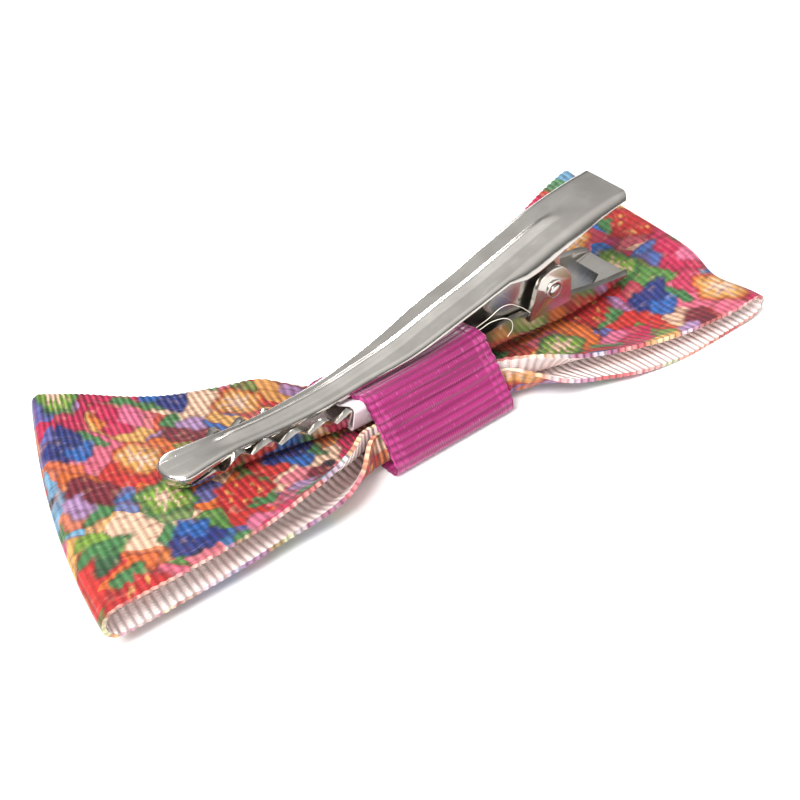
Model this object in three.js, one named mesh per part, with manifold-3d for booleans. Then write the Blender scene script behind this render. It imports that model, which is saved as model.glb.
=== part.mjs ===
// Toothed alligator hair clip with a printed ribbon bow. Millimetres, +Z up.
// +X runs from the jaw tips to the finger handles, -Y is the near side.
// The origin is the middle of the centre wrap's flat underside.
import * as THREE from "three";
import { mergeVertices } from "three/addons/utils/BufferGeometryUtils.js";
import Module from "manifold-3d";

const wasm = await Module();
wasm.setup();

// ---- driving dimensions ----
const SHEET = 0.45; // steel of both jaws
const FIT = 0.1; // clearance between pieces that lie on each other
const RIBBON = 0.34; // thickness of the grosgrain ribbons
const RIBBON_WIDTH = 22; // printed ribbon of the bow
const LINER = 0.16; // thickness of the white lining ribbon

const PIVOT = { x: 13.15, z: 6.5, radius: 0.55, dome: 0.16, clearance: 0.06 };
const UPPER_TIP = { x: -22.6, radius: 1.8 };
const LOWER_TIP = { x: -22.3, radius: 1.7 };
const UPPER_END = 21.9;
const LOWER_END = 22.4;
const EDGE_ROUND = 0.4; // rounding of the jaw tips, seen from the side
const CORNER = { radius: 0.95, upperHalf: 2.95, lowerHalf: 2.98 }; // handle ends, seen from above
const BLANK = { length: 50, height: 14 }; // larger than either jaw

const BEAD = { from: -17.4, to: 15.9, halfWidth: 0.75, height: 0.34, run: 1.6 };
const TEETH = { first: -19.2, last: -7.2, notches: 5, depth: 0.9, lean: 0.38 };

const OUTER_EAR = { radius: 1.95, inside: 2.72, outside: 3.14, collar: 0.88, rise: 0.16 };
const INNER_EAR = { radius: 1.45, inside: 1.82, outside: 2.22 };
const SPRING = { thickness: 0.28, halfWidth: 1.55 };

const WRAP = {
  from: -6.4,
  to: 5.4,
  near: { foot: 6.65, side: 4.75, sideZ: 4.1 },
  far: { foot: 5.4, side: 3.45, sideZ: 3.8 },
};
const LINER_SPAN = { from: -7.35, to: 4.4 };

// ---- profiles, as [x, value] rows joined by a smooth curve ----
const upperTop = smooth([
  [-22.6, 5.98], [-20, 5.96], [-17, 5.84], [-14, 5.55], [-11, 5.45], [-8, 5.52], [-5, 5.87],
  [-1, 6.45], [3, 7.5], [7, 8.45], [10.4, 9.42], [14.5, 10.58], [18.4, 11.32], [21.9, 11.7],
]);
const upperLip = smooth([
  [-22.6, 0.76], [-20.9, 0.72], [-19, 0.54], [-17, 0.5], [9, 0.52], [9.8, 0.85], [12.5, 1.2],
  [14.6, 1.1], [17.7, 0.78], [20.2, 0.6], [21.9, 0.55],
]);
const upperRim = (x) => upperTop(x) - upperLip(x);
const upperHalf = smooth([
  [-20.8, 1.78], [-18.5, 1.5], [-17, 1.34], [-15, 1.28], [-11, 1.4], [-7, 1.52], [-4, 1.7],
  [-1, 2.05], [2, 2.28], [9.2, 2.48], [10.6, 2.86], [12, 2.92], [21.9, 2.92],
]);
const upperBend = smooth([[-22.6, 0.4], [9.2, 0.4], [11, 0.95], [21.9, 0.95]]);
const lowerFloor = smooth([
  [-22.3, 4.62], [-18, 4.2], [-14, 3.8], [-10, 3.3], [-7, 2.97], [0, 2.95], [5, 3.02],
  [7.5, 3.05], [12, 2.6], [16, 2.25], [19, 2.4], [22.4, 3.0],
]);
const lowerRim = smooth([
  [-22.3, 5.03], [-20.4, 5.06], [-18.9, 5.3], [-16.8, 5.85], [-14.4, 5.58], [-12, 5.35], [-9.4, 5.18],
  [-7.3, 5.05], [-5, 4.9], [0, 4.95], [4, 5.2], [6.2, 5.55], [7.4, 5.6], [10.6, 5.35], [15.7, 4.8],
  [18.5, 4.2], [22.4, 3.68],
]);
const lowerHalf = smooth([
  [-20.6, 1.7], [-18, 1.7], [-16, 1.74], [-12, 2.1], [-7, 2.5], [5, 2.55], [10, 2.6], [22.4, 2.6],
]);
const nearFlare = smooth([[-22.3, 0], [-20, 0.12], [-18, 0.34], [-9, 0.45], [-7, 0.42], [22.4, 0.35]]);
const farFlare = smooth([
  [-22.3, 0], [-20, 0.12], [-18, 0.34], [-14, 0.15], [-9, -0.15], [4, -0.2], [9, 0.3], [22.4, 0.35],
]);
const farDrop = smooth([[-18, 0], [-14, 0.3], [-10, 0.8], [-7, 1.2], [-3, 1.0], [3, 0.7], [8, 0]]);

// ---- the bow's loop, as rows of [distance from the middle, value] for each wing and layer ----
const BOW = { stations: 76, across: 14, foldSteps: 6 };
const LEFT = {
  end: -30.2,
  swing: smooth([[0, 0], [6.4, 0], [11, -0.1], [16, 0.4], [20, 1.0], [25, 1.8], [31, 2.2]]),
  roll: smooth([[0, 0], [10, 0.02], [20, 0.07], [31, 0.19]]),
  skew: 3.1,
  bulge: 0.95,
  dent: 0,
  bottom: {
    height: smooth([[0, 0.7], [7, 0.72], [14, 0.85], [22, 1.9], [31, 3.3]]),
    gather: smooth([[0, 0.69], [6.5, 0.69], [12, 0.76], [16, 0.76], [20, 0.81], [25, 0.87], [31, 0.9]]),
    near: smooth([[0, 120], [6.5, 112], [10, 56], [16, 22], [24, 4], [31, 2]]),
    far: smooth([[0, 120], [6.5, 112], [9, 52], [12, 24], [16, 16], [24, 12], [31, 8]]),
  },
  top: {
    height: smooth([[0, 1.6], [6, 1.65], [10, 2.55], [14, 3.15], [18, 3.55], [24, 4.6], [31, 5.9]]),
    gather: smooth([[0, 0.52], [6.5, 0.52], [10, 0.66], [14, 0.7], [20, 0.79], [25, 0.87], [31, 0.9]]),
    near: smooth([[0, 98], [6.5, 96], [10, 66], [14, 34], [20, 10], [31, 2]]),
    far: smooth([[0, 84], [6.5, 82], [9, 48], [12, 24], [20, 14], [31, 8]]),
  },
};
const RIGHT = {
  end: 29.3,
  swing: smooth([[0, 0], [31, -0.2]]),
  roll: smooth([[0, 0], [10, 0.02], [20, 0.06], [31, 0.16]]),
  skew: -0.9,
  bulge: -0.3,
  dent: 1.2,
  bottom: {
    height: smooth([[0, 0.7], [7, 0.72], [14, 0.75], [22, 1.0], [31, 2.3]]),
    gather: smooth([[0, 0.69], [5.5, 0.69], [8, 0.74], [12, 0.82], [16, 0.93], [22, 1], [31, 1]]),
    near: smooth([[0, 120], [5.5, 105], [7.5, 60], [10, 25], [14, 8], [20, 0], [31, 0]]),
    far: smooth([[0, 120], [6.5, 105], [10, 62], [16, 30], [24, 14], [31, 4]]),
  },
  top: {
    height: smooth([[0, 1.6], [6, 1.62], [10, 1.5], [16, 1.5], [20, 1.8], [25, 2.9], [31, 4.2]]),
    gather: smooth([[0, 0.52], [5.5, 0.52], [8, 0.66], [12, 0.76], [18, 0.88], [25, 0.98], [31, 1]]),
    near: smooth([[0, 98], [5.5, 96], [8, 78], [12, 40], [18, 20], [26, 2], [31, 0]]),
    far: smooth([[0, 84], [6.5, 82], [10, 66], [14, 38], [20, 22], [31, 4]]),
  },
};
const MARGIN = { bottom: [0.6, 0.78], top: [0.6, 0.8] }; // where the margins start to turn up
const DENT = { at: -0.62, width: 0.24 }; // soft dent in a fold, as shares of half the ribbon
const farPinch = smooth([[0, 0.79], [6.5, 0.79], [10, 0.95], [14, 1]]); // tighter on the far side

const COLOURS = {
  steel: 0xc9c5bd,
  spring: 0xaaa69f,
  print: 0xd8683c,
  wrap: 0xb42d7d,
  liner: 0xefe6e6,
  glue: 0xf0ede4,
};

// ---- small helpers ----

// A smooth curve through [x, value] rows, level where the rows turn back.
function smooth(rows) {
  const slope = rows.map((row, i) => {
    const before = rows[Math.max(i - 1, 0)];
    const after = rows[Math.min(i + 1, rows.length - 1)];
    const turns = (row[1] - before[1]) * (after[1] - row[1]) <= 0;
    return turns && i > 0 && i < rows.length - 1 ? 0 : (after[1] - before[1]) / (after[0] - before[0]);
  });
  return (x) => {
    const at = THREE.MathUtils.clamp(x, rows[0][0], rows.at(-1)[0]);
    const i = Math.min(rows.findIndex((row, k) => k > 0 && at <= row[0]), rows.length - 1) - 1;
    const [x0, v0] = rows[i];
    const [x1, v1] = rows[i + 1];
    const span = x1 - x0;
    const t = (at - x0) / span;
    const rise = v1 - v0;
    return (
      v0 + rise * t * t * (3 - 2 * t) +
      span * (slope[i] * t * (1 - t) * (1 - t) - slope[i + 1] * t * t * (1 - t))
    );
  };
}

function range(count, from, to) {
  return Array.from({ length: count + 1 }, (_, i) => from + ((to - from) * i) / count);
}

function toSolid(geometry) {
  geometry.deleteAttribute("normal");
  geometry.deleteAttribute("uv");
  const merged = mergeVertices(geometry, 1e-4);
  return new wasm.Manifold(
    new wasm.Mesh({
      numProp: 3,
      vertProperties: Float32Array.from(merged.attributes.position.array),
      triVerts: Uint32Array.from(merged.index.array),
    }),
  );
}

function toGeometry(solid) {
  const mesh = solid.getMesh();
  return indexed(mesh.vertProperties, mesh.triVerts);
}

function indexed(positions, triangles) {
  const geometry = new THREE.BufferGeometry();
  geometry.setAttribute("position", new THREE.BufferAttribute(Float32Array.from(positions), 3));
  geometry.setIndex(new THREE.BufferAttribute(Uint32Array.from(triangles), 1));
  geometry.computeVertexNormals();
  return geometry;
}

// A closed solid through sections that follow each other along +X.
function loft(sections) {
  const count = sections[0].points.length;
  const positions = sections.flatMap(({ x, points }) => points.flatMap((p) => [x, p.x, p.y]));
  const triangles = [];
  for (let k = 0; k < sections.length - 1; k += 1) {
    for (let i = 0; i < count; i += 1) {
      const a = k * count + i;
      const b = k * count + ((i + 1) % count);
      triangles.push(a, b, b + count, a, b + count, a + count);
    }
  }
  for (const end of [0, sections.length - 1]) {
    const { x, points } = sections[end];
    const middle = points.reduce((sum, p) => sum.add(p), new THREE.Vector2()).divideScalar(count);
    const hub = positions.push(...[x, middle.x, middle.y]) / 3 - 1;
    for (let i = 0; i < count; i += 1) {
      const a = end * count + i;
      const b = end * count + ((i + 1) % count);
      triangles.push(hub, ...(end ? [a, b] : [b, a]));
    }
  }
  return indexed(positions, triangles);
}

// A loop of sheet: point(u, v) runs round the loop with u and across the sheet with v.
function closedBand(loopSteps, acrossSteps, thickness, point) {
  const rows = range(acrossSteps, 0, 1);
  const grid = range(loopSteps - 1, 0, 1 - 1 / loopSteps).map((u) => rows.map((v) => point(u, v)));
  const around = (i) => grid[(i + loopSteps) % loopSteps];
  const side = (sign) =>
    grid.flatMap((row, i) =>
      row.flatMap((p, j) => {
        const along = around(i + 1)[j].clone().sub(around(i - 1)[j]);
        const across = row[Math.min(j + 1, acrossSteps)].clone().sub(row[Math.max(j - 1, 0)]);
        const out = along.cross(across).normalize().multiplyScalar((sign * thickness) / 2);
        return p.clone().add(out).toArray();
      }),
    );
  const width = acrossSteps + 1;
  const inner = loopSteps * width;
  const triangles = [];
  const quad = (a, b, c, d) => triangles.push(a, b, c, a, c, d);
  for (let i = 0; i < loopSteps; i += 1) {
    const here = i * width;
    const next = ((i + 1) % loopSteps) * width;
    for (let j = 0; j < acrossSteps; j += 1) {
      quad(here + j, next + j, next + j + 1, here + j + 1);
      quad(inner + here + j, inner + here + j + 1, inner + next + j + 1, inner + next + j);
    }
    quad(here, inner + here, inner + next, next);
    quad(here + acrossSteps, next + acrossSteps, inner + next + acrossSteps, inner + here + acrossSteps);
  }
  return indexed([...side(1), ...side(-1)], triangles);
}

// A flat plate with an outline in X and Z, between two Y positions.
function plate(shape, yFrom, yTo, curveSegments = 24) {
  const options = { depth: yTo - yFrom, bevelEnabled: false, curveSegments };
  const geometry = new THREE.ExtrudeGeometry(shape, options);
  return geometry.rotateX(Math.PI / 2).translate(0, yTo, 0);
}

function circlePath(radius, clockwise = true) {
  return new THREE.Path().absarc(PIVOT.x, PIVOT.z, radius, 0, Math.PI * 2, clockwise);
}

// ---- stamped jaws ----

// The lower jaw's far wall leans in and stands a little lower than its near one.
function wallFlare(x, side) {
  return side > 0 ? farFlare(x) : nearFlare(x);
}

function wallRim(x, side) {
  return lowerRim(x) - (side > 0 ? farDrop(x) : 0);
}

// Half the width of a jaw at x, with its round tip.
function halfWidth(x, tip, body, inset) {
  const centre = tip.x + tip.radius;
  if (x >= centre) return body(x) - inset;
  return Math.sqrt(Math.max((tip.radius - inset) ** 2 - (x - centre) ** 2, 0.01));
}

// How far the crown of a jaw falls at its round tip.
function tipFall(x, tip) {
  const d = Math.min(x - tip.x, EDGE_ROUND);
  return EDGE_ROUND - Math.sqrt(Math.max(EDGE_ROUND ** 2 - (EDGE_ROUND - d) ** 2, 0));
}

function beadHeight(x, y) {
  if (Math.abs(y) >= BEAD.halfWidth || x <= BEAD.from || x >= BEAD.to) return 0;
  const ends = Math.min((x - BEAD.from) / BEAD.run, (BEAD.to - x) / BEAD.run, 1);
  return BEAD.height * Math.sqrt(1 - (1 - ends) ** 2) * Math.cos((Math.PI * y) / (2 * BEAD.halfWidth)) ** 2;
}

// The outline of a channel's section: rim, round bend, crown with its bead, bend, rim.
function channelSection(crown, rims, half, flares, bend, bead) {
  const side = Math.sign(crown - rims.near);
  const round = Math.min(bend, half * 0.8);
  const arcDepth = Math.min(round, Math.abs(crown - rims.near) - 0.05);
  const arc = range(4, Math.asin(1 - arcDepth / round), Math.PI / 2).map((a) => [
    half - round + round * Math.cos(a),
    crown - side * round * (1 - Math.sin(a)),
  ]);
  const flat = Math.min(BEAD.halfWidth, (half - round) * 0.9);
  const top = bead ? range(8, flat, -flat) : [];
  const foot = arc[0][0];
  const points = [
    [foot + flares.far, rims.far],
    ...arc,
    ...top.map((y) => [y, crown + bead(y)]),
    ...arc.reverse().map(([y, z]) => [-y, z]),
    [-foot - flares.near, rims.near],
  ].map(([y, z]) => new THREE.Vector2(y, z));
  return side > 0 ? points : points.reverse();
}

// A channel of sheet steel: the outer shape less the inner one.
function channel({ tip, end, crown, rim, half, flares, bend, bead, steps }) {
  const side = Math.sign(crown(0) - rim(0, -1));
  const shell = (inset, overrun) => {
    const centre = tip.x + tip.radius;
    const front = range(8, 0.12, Math.PI / 2).map((a) => centre - (tip.radius - inset) * Math.cos(a));
    const rest = range(steps, centre, end + overrun).slice(1);
    return loft(
      [...front, ...rest].map((x) => ({
        x,
        points: channelSection(
          crown(x) - side * (inset + (inset ? 0 : tipFall(x, tip))),
          { near: rim(x, -1) - side * overrun, far: rim(x, 1) - side * overrun },
          halfWidth(x, tip, half, inset),
          { near: flares(x, -1), far: flares(x, 1) },
          Math.max(bend(x) - inset, 0.1),
          bead && x > centre ? (y) => beadHeight(x, y) : bead && (() => 0),
        ),
      })),
    );
  };
  return toSolid(shell(0, 0)).subtract(toSolid(shell(SHEET, 1)));
}

// A jaw with the two corners of its handle end rounded.
function roundCorners(body, end, half) {
  const { radius } = CORNER;
  const shape = new THREE.Shape();
  shape.moveTo(end - BLANK.length, -half);
  shape.lineTo(end - radius, -half);
  shape.absarc(end - radius, radius - half, radius, -Math.PI / 2, 0, false);
  shape.absarc(end - radius, half - radius, radius, 0, Math.PI / 2, false);
  shape.lineTo(end - BLANK.length, half);
  const options = { depth: BLANK.height, bevelEnabled: false, curveSegments: 6 };
  return body.intersect(toSolid(new THREE.ExtrudeGeometry(shape, options)));
}

function bothSides(shape, inside, outside) {
  return toSolid(plate(shape, inside, outside)).add(toSolid(plate(shape, -outside, -inside)));
}

// Triangular side ears under the handle, inside the lower jaw's ears.
function innerEarShape() {
  const { x, z, radius } = PIVOT;
  const r = INNER_EAR.radius;
  const shape = new THREE.Shape();
  shape.moveTo(6.2, upperTop(6.2) - SHEET / 2);
  shape.lineTo(6.6, 7.1);
  shape.quadraticCurveTo(8.2, 5.4, 10.6, z - r);
  shape.lineTo(x, z - r);
  shape.absarc(x, z, r, -Math.PI / 2, 0, false);
  shape.lineTo(x + r + 0.2, upperTop(x + r) - SHEET / 2);
  shape.holes.push(circlePath(radius + PIVOT.clearance));
  return shape;
}

function upperJaw() {
  const body = channel({
    tip: UPPER_TIP,
    end: UPPER_END,
    crown: upperTop,
    rim: upperRim,
    half: upperHalf,
    flares: () => 0,
    bend: upperBend,
    bead: true,
    steps: 30,
  });
  const trimmed = roundCorners(body, UPPER_END, CORNER.upperHalf);
  return toGeometry(trimmed.add(bothSides(innerEarShape(), INNER_EAR.inside, INNER_EAR.outside)));
}

// The lower jaw's ear: a round-topped lug with a raised collar round its hole.
function outerEarShape() {
  const { x, z, radius } = PIVOT;
  const r = OUTER_EAR.radius;
  const shape = new THREE.Shape();
  shape.moveTo(x - r - 0.75, lowerRim(x) - 0.6);
  shape.lineTo(x + r - 0.1, lowerRim(x) - 0.6);
  shape.lineTo(x + r, z);
  shape.absarc(x, z, r, 0, THREE.MathUtils.degToRad(158), false);
  shape.holes.push(circlePath(radius + PIVOT.clearance));
  return shape;
}

function collarShape() {
  const shape = new THREE.Shape(circlePath(OUTER_EAR.collar, false).getPoints(24));
  shape.holes.push(circlePath(PIVOT.radius + PIVOT.clearance));
  return shape;
}

// The cutter for one V notch between two teeth of one wall.
function notchCutter(crest, pitch, side) {
  const valley = crest + pitch * TEETH.lean;
  const over = 0.2;
  const shape = new THREE.Shape();
  shape.moveTo(crest - over / 4, wallRim(crest, side) + over);
  shape.lineTo(valley, wallRim(valley, side) - TEETH.depth);
  shape.lineTo(crest + pitch + over / 4, wallRim(crest + pitch, side) + over);
  return toSolid(side > 0 ? plate(shape, 0.5, 5) : plate(shape, -5, -0.5));
}

function lowerJaw() {
  let body = channel({
    tip: LOWER_TIP,
    end: LOWER_END,
    crown: lowerFloor,
    rim: wallRim,
    half: lowerHalf,
    flares: wallFlare,
    bend: () => 0.5,
    steps: 26,
  });
  const pitch = (TEETH.last - TEETH.first) / TEETH.notches;
  for (const crest of range(TEETH.notches, TEETH.first, TEETH.last).slice(0, -1)) {
    body = body.subtract(notchCutter(crest, pitch, -1)).subtract(notchCutter(crest, pitch, 1));
  }
  body = roundCorners(body, LOWER_END, CORNER.lowerHalf);
  const ears = bothSides(outerEarShape(), OUTER_EAR.inside, OUTER_EAR.outside);
  const collars = bothSides(collarShape(), OUTER_EAR.outside - 0.1, OUTER_EAR.outside + OUTER_EAR.rise);
  return toGeometry(body.add(ears).add(collars));
}

// ---- hinge pin and leaf spring ----

function pivotPin() {
  const reach = OUTER_EAR.outside + OUTER_EAR.rise;
  const dome = range(4, 0, Math.PI / 2).map((a) => [
    PIVOT.radius * Math.cos(a),
    reach + PIVOT.dome * Math.sin(a),
  ]);
  const outline = [...dome.map(([r, y]) => [r, -y]).reverse(), ...dome];
  const profile = outline.map(([r, y]) => new THREE.Vector2(r, y));
  profile[0].x = 0;
  profile.at(-1).x = 0;
  return new THREE.LatheGeometry(profile, 24).translate(PIVOT.x, 0, PIVOT.z);
}

// The spring strip: an arm under the handle, a bend in front of the pin, an arm on the floor.
function springCurve() {
  const arm = SPRING.thickness / 2 + FIT;
  const under = (x) => upperTop(x) - SHEET - arm;
  const above = (x) => lowerFloor(x) + SHEET + arm;
  return new THREE.CatmullRomCurve3(
    [
      [18.2, under(18.2) - 0.25],
      [16.6, under(16.6)],
      [14.6, under(14.6)],
      [12.4, under(12.4) - 0.35],
      [10.9, 7.6],
      [10.5, 6.3],
      [11.2, 4.6],
      [13.2, above(13.2) + 0.25],
      [15.6, above(15.6)],
      [17.6, above(17.6)],
      [19, above(19) + 0.25],
      [19.7, above(19) + 1.05],
    ].map(([x, z]) => new THREE.Vector3(x, z, 0)),
  );
}

function leafSpring() {
  const middle = springCurve().getSpacedPoints(40);
  const offset = (sign) =>
    middle.map((p, i) => {
      const along = middle[Math.min(i + 1, 40)].clone().sub(middle[Math.max(i - 1, 0)]).normalize();
      const reach = (sign * SPRING.thickness) / 2;
      return new THREE.Vector2(p.x - along.y * reach, p.y + along.x * reach);
    });
  const shape = new THREE.Shape([...offset(-1), ...offset(1).reverse()]);
  return plate(shape, -SPRING.halfWidth, SPRING.halfWidth);
}

// ---- ribbons round the lower jaw ----

// How far the ribbons sag between the lower jaw's walls, under the upper jaw.
const ribbonSag = smooth([[-7.4, 0.9], [-2, 0.7], [5.4, 0.3]]);
const SAG_HALF = 0.9; // half the width of the sag's flat middle

// Half of the white lining's loop, from under the jaw's floor up over one wall.
function linerHalf(x, side) {
  const off = FIT + LINER / 2;
  const foot = lowerHalf(x) + off;
  const head = foot + wallFlare(x, side);
  const low = lowerFloor(x) - off;
  const high = wallRim(x, side) + off;
  const path = new THREE.Path().moveTo(0, low);
  path.lineTo(foot - 0.5, low);
  path.quadraticCurveTo(foot, low, foot + 0.05, low + 0.5);
  path.lineTo(head, high - 0.35);
  path.quadraticCurveTo(head, high, head - 0.3, high);
  path.lineTo(head - 0.62, high);
  path.lineTo(SAG_HALF, lowerRim(x) + off - ribbonSag(x));
  path.lineTo(0, lowerRim(x) + off - ribbonSag(x));
  return path;
}

// Half of the centre wrap's loop: flat foot, leaning side, soft sag on top.
function wrapHalf(x, side) {
  const off = FIT * 2 + LINER + RIBBON / 2;
  const low = RIBBON / 2;
  const head = lowerHalf(x) + wallFlare(x, side) + off + 0.05;
  const high = wallRim(x, side) + off;
  const wall = side > 0 ? WRAP.far : WRAP.near;
  const path = new THREE.Path().moveTo(0, low);
  path.lineTo(wall.foot - 0.9, low);
  path.quadraticCurveTo(wall.foot + 0.25, low, wall.foot - 0.15, 1.3);
  path.lineTo(wall.side, wall.sideZ);
  path.lineTo(head, high - 0.5);
  path.quadraticCurveTo(head - 0.1, high + 0.05, head - 0.7, high);
  path.lineTo(head - 1.02, high);
  path.lineTo(SAG_HALF, lowerRim(x) + off - ribbonSag(x));
  path.lineTo(0, lowerRim(x) + off - ribbonSag(x));
  return path;
}

function sleeve(halfOutline, span, thickness, halfSteps, acrossSteps) {
  const loops = range(acrossSteps, span.from, span.to).map((x) => {
    const far = halfOutline(x, 1).getSpacedPoints(halfSteps);
    const near = halfOutline(x, -1).getSpacedPoints(halfSteps).reverse().slice(1, -1);
    return [...far.map((p) => [x, p.x, p.y]), ...near.map((p) => [x, -p.x, p.y])];
  });
  const steps = halfSteps * 2;
  return closedBand(steps, acrossSteps, thickness, (u, v) =>
    new THREE.Vector3(...loops[Math.round(v * acrossSteps)][Math.round(u * steps)]),
  );
}

// ---- printed bow ----

// One section across the ribbon: its margins turn up by the given angles, in degrees.
function ribbonSection(nearArc, farArc, near, far, turnFrom, turnTo) {
  const fine = 6;
  const turn = (t, angle) => {
    const share = THREE.MathUtils.smoothstep(Math.abs(t), turnFrom, turnTo);
    return THREE.MathUtils.degToRad(angle) * share;
  };
  const half = (sign, arc, angle) => {
    const steps = (BOW.across / 2) * fine;
    const point = new THREE.Vector2();
    const points = [];
    for (let i = 1; i <= steps; i += 1) {
      const a = turn((i - 0.5) / steps, angle);
      point.x += (sign * arc * Math.cos(a)) / steps;
      point.y += (arc * Math.sin(a)) / steps;
      if (i % fine === 0) points.push(point.clone());
    }
    return points;
  };
  return [...half(-1, nearArc, near).reverse(), new THREE.Vector2(), ...half(1, farArc, far)];
}

// A point of the bow: distance from the middle, share from bottom (0) to top (1) layer.
function bowRow(wing, distance, layer) {
  const mix = (key) => THREE.MathUtils.lerp(wing.bottom[key](distance), wing.top[key](distance), layer);
  const turns = [0, 1].map((i) => THREE.MathUtils.lerp(MARGIN.bottom[i], MARGIN.top[i], layer));
  const arc = (RIBBON_WIDTH / 2) * mix("gather");
  const points = ribbonSection(arc, arc * farPinch(distance), mix("near"), mix("far"), ...turns);
  const reach = (distance / Math.abs(wing.end)) ** 3;
  return points.map((p, j) => {
    const t = (2 * j) / BOW.across - 1;
    const height = mix("height") + wing.roll(distance) * p.x;
    const dent = wing.dent * Math.exp(-(((t - DENT.at) / DENT.width) ** 2));
    const x = Math.sign(wing.end) * distance + reach * (wing.skew * t + wing.bulge * t * t - dent);
    return new THREE.Vector3(x, wing.swing(distance) + p.x, height + p.y);
  });
}

function bowRows() {
  const rows = [];
  const perRun = (BOW.stations - 2 * BOW.foldSteps) / 4;
  const wingRows = (wing) => {
    const rest = Math.abs(wing.end) - 1.2;
    const out = range(perRun, 0, rest).map((d) => bowRow(wing, d, 0));
    const fold = range(BOW.foldSteps, 0, Math.PI)
      .slice(1, -1)
      .map((a) => bowRow(wing, rest + 1.2 * Math.sin(a), (1 - Math.cos(a)) / 2));
    const back = range(perRun, rest, 0).map((d) => bowRow(wing, d, 1));
    return [...out, ...fold, ...back];
  };
  rows.push(...wingRows(LEFT).slice(0, -1));
  rows.push(...wingRows(RIGHT).reverse().slice(0, -1));
  return rows;
}

function bowRibbon() {
  const rows = bowRows();
  return closedBand(rows.length, BOW.across, RIBBON, (u, v) =>
    rows[Math.round(u * rows.length)][Math.round(v * BOW.across)].clone(),
  );
}

// ---- hot-melt glue ----

function glueDab(x, z, halfX, halfY, halfZ) {
  return new THREE.SphereGeometry(1, 20, 10).scale(halfX, halfY, halfZ).translate(x, 0, z);
}

// ---- assembly ----

const steel = { color: COLOURS.steel, roughness: 0.18, metalness: 1 };
const pieces = [
  ["upper_jaw", upperJaw(), steel],
  ["lower_jaw", lowerJaw(), steel],
  ["pivot_pin", pivotPin(), steel],
  ["leaf_spring", leafSpring(), { color: COLOURS.spring, roughness: 0.25, metalness: 1 }],
  ["jaw_liner", sleeve(linerHalf, LINER_SPAN, LINER, 36, 4), { color: COLOURS.liner, roughness: 0.8 }],
  ["centre_wrap", sleeve(wrapHalf, WRAP, RIBBON, 48, 4), { color: COLOURS.wrap, roughness: 0.6 }],
  ["bow_ribbon", bowRibbon(), { color: COLOURS.print, roughness: 0.7 }],
  ["clip_glue", glueDab(-0.5, 2.16, 5, 2.1, 0.24), { color: COLOURS.glue, roughness: 0.4 }],
  ["fold_glue", glueDab(-0.3, 1.15, 4, 3, 0.14), { color: COLOURS.glue, roughness: 0.4 }],
  ["wrap_glue", glueDab(-0.6, 3.77, 4.6, 1.5, 0.24), { color: COLOURS.glue, roughness: 0.4 }],
];

const hairClip = new THREE.Group();
for (const [name, geometry, look] of pieces) {
  const mesh = new THREE.Mesh(geometry, new THREE.MeshStandardMaterial({ metalness: 0, ...look }));
  mesh.name = name;
  hairClip.add(mesh);
}

export default hairClip;
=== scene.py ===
"""Toothed hair clip with a printed ribbon bow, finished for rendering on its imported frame."""

import math

import bpy
import numpy as np
from bpy.props import FloatProperty, FloatVectorProperty, PointerProperty
from mathutils import Matrix, Vector


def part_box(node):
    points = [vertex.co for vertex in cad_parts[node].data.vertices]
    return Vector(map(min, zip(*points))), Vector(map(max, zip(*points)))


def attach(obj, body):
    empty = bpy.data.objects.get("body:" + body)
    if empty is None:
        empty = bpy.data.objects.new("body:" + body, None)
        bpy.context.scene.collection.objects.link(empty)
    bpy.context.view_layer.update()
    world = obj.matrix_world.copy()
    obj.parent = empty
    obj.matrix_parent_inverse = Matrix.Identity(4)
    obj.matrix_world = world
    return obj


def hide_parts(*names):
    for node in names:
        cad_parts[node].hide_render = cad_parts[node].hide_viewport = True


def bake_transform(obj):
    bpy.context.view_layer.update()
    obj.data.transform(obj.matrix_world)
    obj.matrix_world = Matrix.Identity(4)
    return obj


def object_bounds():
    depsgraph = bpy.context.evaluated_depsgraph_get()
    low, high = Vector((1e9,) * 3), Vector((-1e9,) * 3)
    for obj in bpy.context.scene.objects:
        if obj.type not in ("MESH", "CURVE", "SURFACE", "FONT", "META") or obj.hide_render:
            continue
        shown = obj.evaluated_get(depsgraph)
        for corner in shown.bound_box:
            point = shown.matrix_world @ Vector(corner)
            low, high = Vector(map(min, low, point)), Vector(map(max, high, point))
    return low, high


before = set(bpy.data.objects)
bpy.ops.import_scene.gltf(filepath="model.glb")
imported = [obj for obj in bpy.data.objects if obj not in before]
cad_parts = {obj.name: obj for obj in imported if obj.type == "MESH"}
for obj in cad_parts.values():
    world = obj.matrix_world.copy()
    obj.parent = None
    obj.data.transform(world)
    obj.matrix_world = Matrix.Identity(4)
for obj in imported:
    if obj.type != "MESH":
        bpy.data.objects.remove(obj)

bl_info = {
    "name": "Ribbon Bow Hair Clip",
    "version": (1, 0, 0),
    "blender": (4, 5, 0),
    "location": "3D View > Sidebar > Hair Clip",
    "description": "Builds the jaws, spring, ribbons and glue of a toothed hair clip with a bow",
    "category": "Add Mesh",
}

MM = 0.001
CAD_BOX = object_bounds()


# ---- small helpers ----


def linear(red, green, blue):
    """A linear colour with alpha from 0-255 display values."""

    def one(value):
        share = value / 255
        return share / 12.92 if share <= 0.04045 else ((share + 0.055) / 1.055) ** 2.4

    return (one(red), one(green), one(blue), 1.0)


def only(piece):
    """Selects one object and nothing else."""
    bpy.ops.object.select_all(action="DESELECT")
    piece.select_set(True)
    bpy.context.view_layer.objects.active = piece


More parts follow.
